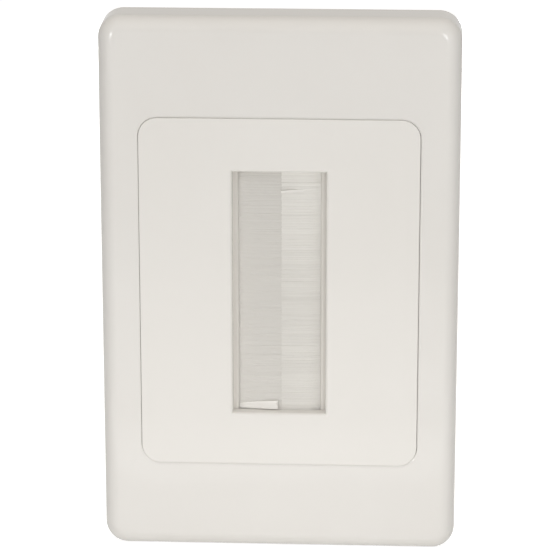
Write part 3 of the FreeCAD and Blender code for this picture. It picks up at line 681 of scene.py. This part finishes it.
# %% The loose strands' inputs
# The tuft and the lock take the palest nylon, as painted light.
tuft_values = {
    **left_values, "Rows": 9, "Layers": 7, "Height": 0.65 * MM, "Depth": 0.7 * MM, "Middle Y": -6.5 * MM,
    "Middle Z": -25.95 * MM, "Root": -9.0 * MM, "Tip": -0.25 * MM, "Uneven Tips": 0.05, "Waviness": 0.30 * MM,
    "Lean Y": -1.45 * MM, "Lean Z": 0.60 * MM, "Bend": 0.55, "Fan": 1.4, "Flare": 0.0, "Seed": 31,
    "Material": loose_nylon_painted_light,
}
lock_values = {
    **right_values, "Rows": 5, "Layers": 3, "Height": 0.42 * MM, "Depth": 0.3 * MM, "Middle Y": -7.5 * MM,
    "Middle Z": 22.0 * MM, "Root": 5.2 * MM, "Lean Y": -1.2 * MM, "Flare": 0.0, "Painted Light Slope": 0.0,
    "Tone Bands": 0.0, "Seed": 41, "Material": loose_nylon_painted_light,
}
for name, values in (("tuft", tuft_values), ("lock", lock_values)):
    print("the", name, "has", values["Rows"] * values["Layers"], "bristles")

# %% Grow the brushes and the loose strands
def grown_mesh(name, tree, values, start=None):
    """Runs a tree once with the given inputs and returns the plain mesh that it grows."""
    grower = bpy.data.objects.new(name + "_grower", start or bpy.data.meshes.new(name + "_start"))
    scene.collection.objects.link(grower)
    recipe = grower.modifiers.new("recipe", "NODES")
    recipe.node_group = tree
    for entry in tree.interface.items_tree:
        if entry.in_out == "INPUT" and entry.name in values:
            recipe[entry.identifier] = values[entry.name]
    mesh = baked_mesh(grower, name)
    grower.modifiers.remove(recipe)
    bpy.data.objects.remove(grower)
    return mesh


grown = {}
for name, values in (
    ("right_brush", right_values), ("left_brush", left_values),
    ("stray_tuft", tuft_values), ("raised_lock", lock_values),
):
    grown[name] = grown_mesh(name, pack_tree, values)
    print(name, "triangles", sum(len(p.vertices) - 2 for p in grown[name].polygons))

# %% [markdown]
# ## The root beads
# The fused bead is a bar with rounded corners. It sits inside the holder, where a cut would show it. A cube with a
# bevel would do, but a swept profile keeps the fillet's size exact at any length: a rectangle with filleted corners
# along a straight line.

# %% The bead's tree
CORNER_STEPS = 4

bead_tree, bead_given, bead_result = new_tree("root_bead", (
    ("Width", "Float"), ("Thickness", "Float"), ("Length", "Float"), ("Corner", "Float"),
    ("Middle X", "Float"), ("Middle Y", "Float"), ("Material", "Material"),
))
half = calculate(bead_tree, "MULTIPLY", bead_given["Length"], 0.5)
low_end, high_end = [
    vector(bead_tree, X=bead_given["Middle X"], Y=bead_given["Middle Y"], Z=z)
    for z in (calculate(bead_tree, "MULTIPLY", half, -1.0), half)
]
line = add_node(bead_tree, "GeometryNodeCurvePrimitiveLine", {"Start": low_end, "End": high_end})
section = add_node(bead_tree, "GeometryNodeCurvePrimitiveQuadrilateral", {
    "Width": bead_given["Width"], "Height": bead_given["Thickness"],
})
rounded = add_node(bead_tree, "GeometryNodeFilletCurve", {
    "Curve": section.outputs["Curve"], "Radius": bead_given["Corner"], "Count": CORNER_STEPS,
}, mode="POLY")
bar = add_node(bead_tree, "GeometryNodeCurveToMesh", {
    "Curve": line.outputs["Curve"], "Profile Curve": rounded.outputs["Curve"], "Fill Caps": True,
})
solid = add_node(bead_tree, "GeometryNodeRealizeInstances", {"Geometry": bar.outputs["Mesh"]})
end_tree(bead_tree, solid.outputs["Geometry"], bead_given["Material"], bead_result)
print("bead tree nodes:", len(bead_tree.nodes))

# %% Beads and finished brushes
for name, middle_x, material in (
    ("right_bead", BEAD_MIDDLE_X, right_nylon_painted_light), ("left_bead", -BEAD_MIDDLE_X, left_nylon_painted_shade),
):
    grown[name] = grown_mesh(name, bead_tree, {
        "Width": 2.8 * MM, "Thickness": 3.3 * MM, "Length": 55.6 * MM, "Corner": 0.5 * MM,
        "Middle X": middle_x, "Middle Y": BRUSH_MIDDLE_Y, "Material": material,
    })
    spans = [(min(axis), max(axis)) for axis in zip(*(v.co for v in grown[name].vertices))]
    print(name, "spans in mm", [[round(v / MM, 2) for v in span] for span in spans])
for name, node, material in (
    ("right_brush", "right_bristles", right_nylon_painted_light),
    ("left_brush", "left_bristles", left_nylon_painted_shade),
    ("stray_tuft", "left_bristles", loose_nylon_painted_light),
    ("raised_lock", "right_bristles", loose_nylon_painted_light),
    ("right_bead", "right_bristles", right_nylon_painted_light),
    ("left_bead", "left_bristles", left_nylon_painted_shade),
):
    plain_piece(name, grown[name], material, "bristle_nylon", node)

# %% [markdown]
# ## Zinc plating
# The clamp screws are steel with a bright zinc plating, which is cool in tone and has a fine crystalline mottle. A
# plain metal would look like chrome, so two fine noises vary its tone and its gloss.

# %% Zinc plating
ZINC_PALE, ZINC_DEEP = (0.66, 0.66, 0.67), (0.55, 0.56, 0.58)
MOTTLE_SCALE, MOTTLE_DETAIL = 1400.0, 4.0
SHEEN_SCALE, SHEEN_DETAIL = 2200.0, 3.0
ZINC_GLOSS = (0.24, 0.40)

zinc, zinc_tree, zinc_shader = new_material("bright_zinc")
mottle = spread(zinc_tree, noise(zinc_tree, MOTTLE_SCALE, MOTTLE_DETAIL), 0.0, 1.0)
zinc_tree.links.new(blend_colours(zinc_tree, mottle, ZINC_PALE, ZINC_DEEP), zinc_shader.inputs["Base Color"])
sheen = spread(zinc_tree, noise(zinc_tree, SHEEN_SCALE, SHEEN_DETAIL), *ZINC_GLOSS)
zinc_tree.links.new(sheen, zinc_shader.inputs["Roughness"])
zinc_shader.inputs["Metallic"].default_value = 1.0
print("plating:", zinc.name)

# %% [markdown]
# ## The clamp screws
# Four small pan-head screws hold the clamp frame. A plain cylinder would pass from far off, but the heads show on the
# back. A Screw modifier could wind a thread, but it would have to be joined to the head. So one screw is turned from a
# single profile, as on a lathe, with a thread whose radius rises and falls along a helix.

# %% The screw's profile
screw_low, screw_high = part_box("clamp_screws")
HEAD_TOP = screw_high[1] / MM
SHANK_END = screw_low[1] / MM
HEAD_PROFILE = (
    (0.00, 0.0), (0.70, 0.01), (1.30, 0.04), (1.75, 0.12), (2.10, 0.27), (2.38, 0.52), (2.55, 0.85), (2.60, 1.15),
    (2.56, 1.42), (2.46, 1.50), (1.45, 1.50), (1.25, 1.62),
)
POINT_PROFILE = ((0.95, 0.3), (0.6, 0.06), (0.35, 0.0), (0.0, 0.0))
NECK = 0.4
POINT = 0.55
THREAD_PITCH = 1.0
THREAD_STEP = 0.1
CREST, GROOVE = 1.25, 1.02


def lathe_rows():
    """Rows of (radius or None for the thread, distance from the head's top) down the screw, in mm."""
    rows = list(HEAD_PROFILE)
    depth = HEAD_PROFILE[-1][1] + NECK
    end = HEAD_TOP - SHANK_END
    while depth < end - POINT:
        rows.append((None, depth))
        depth += THREAD_STEP
    return rows + [(radius, end - before_end) for radius, before_end in POINT_PROFILE]


def thread_radius(depth, turn):
    """The thread's radius at a depth and a part of a turn: a triangle wave between groove and crest."""
    phase = (depth / THREAD_PITCH - turn) % 1.0
    return GROOVE + (CREST - GROOVE) * abs(2.0 * phase - 1.0)


print("screw length in mm:", round(HEAD_TOP - SHANK_END, 2), "rows:", len(lathe_rows()))

# %% The turned screw
AROUND = 28


def closed_mesh(shape, name):
    """Turns a finished shape's faces outwards and makes it a mesh."""
    bmesh.ops.recalc_face_normals(shape, faces=shape.faces)
    mesh = bpy.data.meshes.new(name)
    shape.to_mesh(mesh)
    shape.free()
    return mesh


def turned_screw():
    """The screw without its recess: rings of points down its axis, joined by faces."""
    shape = bmesh.new()
    rings = []
    for radius, depth in lathe_rows():
        y = (HEAD_TOP - depth) * MM
        if radius == 0.0:
            rings.append([shape.verts.new((0.0, y, 0.0))])
            continue
        ring = []
        for i in range(AROUND):
            turn = i / AROUND
            reach = (thread_radius(depth, turn) if radius is None else radius) * MM
            ring.append(shape.verts.new((reach * math.cos(math.tau * turn), y, reach * math.sin(math.tau * turn))))
        rings.append(ring)
    for upper, lower in zip(rings, rings[1:]):
        for i in range(AROUND):
            j = (i + 1) % AROUND
            corners = [upper[i % len(upper)], upper[j % len(upper)], lower[j % len(lower)], lower[i % len(lower)]]
            shape.faces.new(list(dict.fromkeys(corners)))
    return closed_mesh(shape, "turned_screw")


blank = bpy.data.objects.new("screw_blank", turned_screw())
scene.collection.objects.link(blank)
print("turned screw's faces:", len(blank.data.polygons))

# %% [markdown]
# ### The cross recess
# The head has a cross recess for the screwdriver, with walls that slope inwards. It could be modelled face by face, but
# the head's rounded top would then have to be rebuilt around it. A plus-shaped cutter that narrows towards its foot is
# simpler, and a boolean takes its shape out of the head.

# %% The cross recess
RECESS_SPAN, RECESS_WIDTH, RECESS_DEPTH = 3.0, 0.7, 0.8
RECESS_FOOT = 0.62
CUTTER_ABOVE = 0.3


def cross_cutter():
    """A plus sign that narrows towards its foot, standing through the top of the head."""
    shape = bmesh.new()
    a, b = RECESS_SPAN / 2, RECESS_WIDTH / 2
    outline = [
        (a, -b), (a, b), (b, b), (b, a), (-b, a), (-b, b),
        (-a, b), (-a, -b), (-b, -b), (-b, -a), (b, -a), (b, -b),
    ]
    top_y, foot_y = (HEAD_TOP + CUTTER_ABOVE) * MM, (HEAD_TOP - RECESS_DEPTH) * MM
    top = [shape.verts.new((x * MM, top_y, z * MM)) for x, z in outline]
    foot = [shape.verts.new((x * RECESS_FOOT * MM, foot_y, z * RECESS_FOOT * MM)) for x, z in outline]
    shape.faces.new(top)
    shape.faces.new(foot)
    for i in range(len(outline)):
        j = (i + 1) % len(outline)
        shape.faces.new((top[i], top[j], foot[j], foot[i]))
    return closed_mesh(shape, "cross_cutter")


cutter = bpy.data.objects.new("screw_cutter", cross_cutter())
scene.collection.objects.link(cutter)
cut = blank.modifiers.new("cross_recess", "BOOLEAN")
cut.object = cutter
cut.operation = "DIFFERENCE"
cut.solver = "EXACT"
one_screw = baked_mesh(blank, "one_screw")
bpy.data.objects.remove(blank)
bpy.data.objects.remove(cutter)
print("one screw's faces:", len(one_screw.polygons))

# %% [markdown]
# ### The set of four
# The screws sit at the clamp frame's four corners, each turned by another angle, as a screwdriver leaves them. Copies
# could be placed by hand, but a tree on a grid of two by two points takes their spacing from the CAD model's box, and
# a fixed seed turns them the same way on every run.

# %% The screw tree
screw_tree, screw_given, screw_result = new_tree("screw_set", (
    ("Spacing X", "Float"), ("Spacing Z", "Float"), ("Seed", "Int"), ("Material", "Material"),
))
grid = add_node(screw_tree, "GeometryNodeMeshGrid", {
    "Size X": screw_given["Spacing X"], "Size Y": screw_given["Spacing Z"], "Vertices X": 2, "Vertices Y": 2,
})
flat = position_parts(screw_tree)
corners = add_node(screw_tree, "GeometryNodeSetPosition", {
    "Geometry": grid.outputs["Mesh"], "Position": vector(screw_tree, X=flat["X"], Z=flat["Y"]),
})
turn = add_node(screw_tree, "FunctionNodeRandomValue", {
    "Min": (0.0, 0.0, 0.0), "Max": (0.0, math.tau, 0.0), "Seed": screw_given["Seed"],
}, data_type="FLOAT_VECTOR").outputs[0]
turned = add_node(screw_tree, "FunctionNodeEulerToRotation", {0: turn})
four = add_node(screw_tree, "GeometryNodeInstanceOnPoints", {
    "Points": corners.outputs["Geometry"], "Instance": screw_given["Geometry"], "Rotation": turned.outputs[0],
})
solid = add_node(screw_tree, "GeometryNodeRealizeInstances", {"Geometry": four.outputs["Instances"]})
end_tree(screw_tree, solid.outputs["Geometry"], screw_given["Material"], screw_result)
print("screw tree nodes:", len(screw_tree.nodes))

# %% The set of four
SCREW_CORNER_DEGREES = 38.0
HEAD_RADIUS = max(radius for radius, depth in HEAD_PROFILE) * MM

screw_set = grown_mesh("clamp_screw_set", screw_tree, {
    "Spacing X": screw_high[0] - screw_low[0] - 2 * HEAD_RADIUS,
    "Spacing Z": screw_high[2] - screw_low[2] - 2 * HEAD_RADIUS,
    "Seed": 5, "Material": zinc,
}, one_screw)
shape = bmesh.new()
shape.from_mesh(screw_set)
shade_by_angle(shape, SCREW_CORNER_DEGREES)
shape.to_mesh(screw_set)
shape.free()
plain_piece("clamp_screw_set", screw_set, zinc, "screw_steel", "clamp_screws")
print("screw set faces:", len(screw_set.polygons))
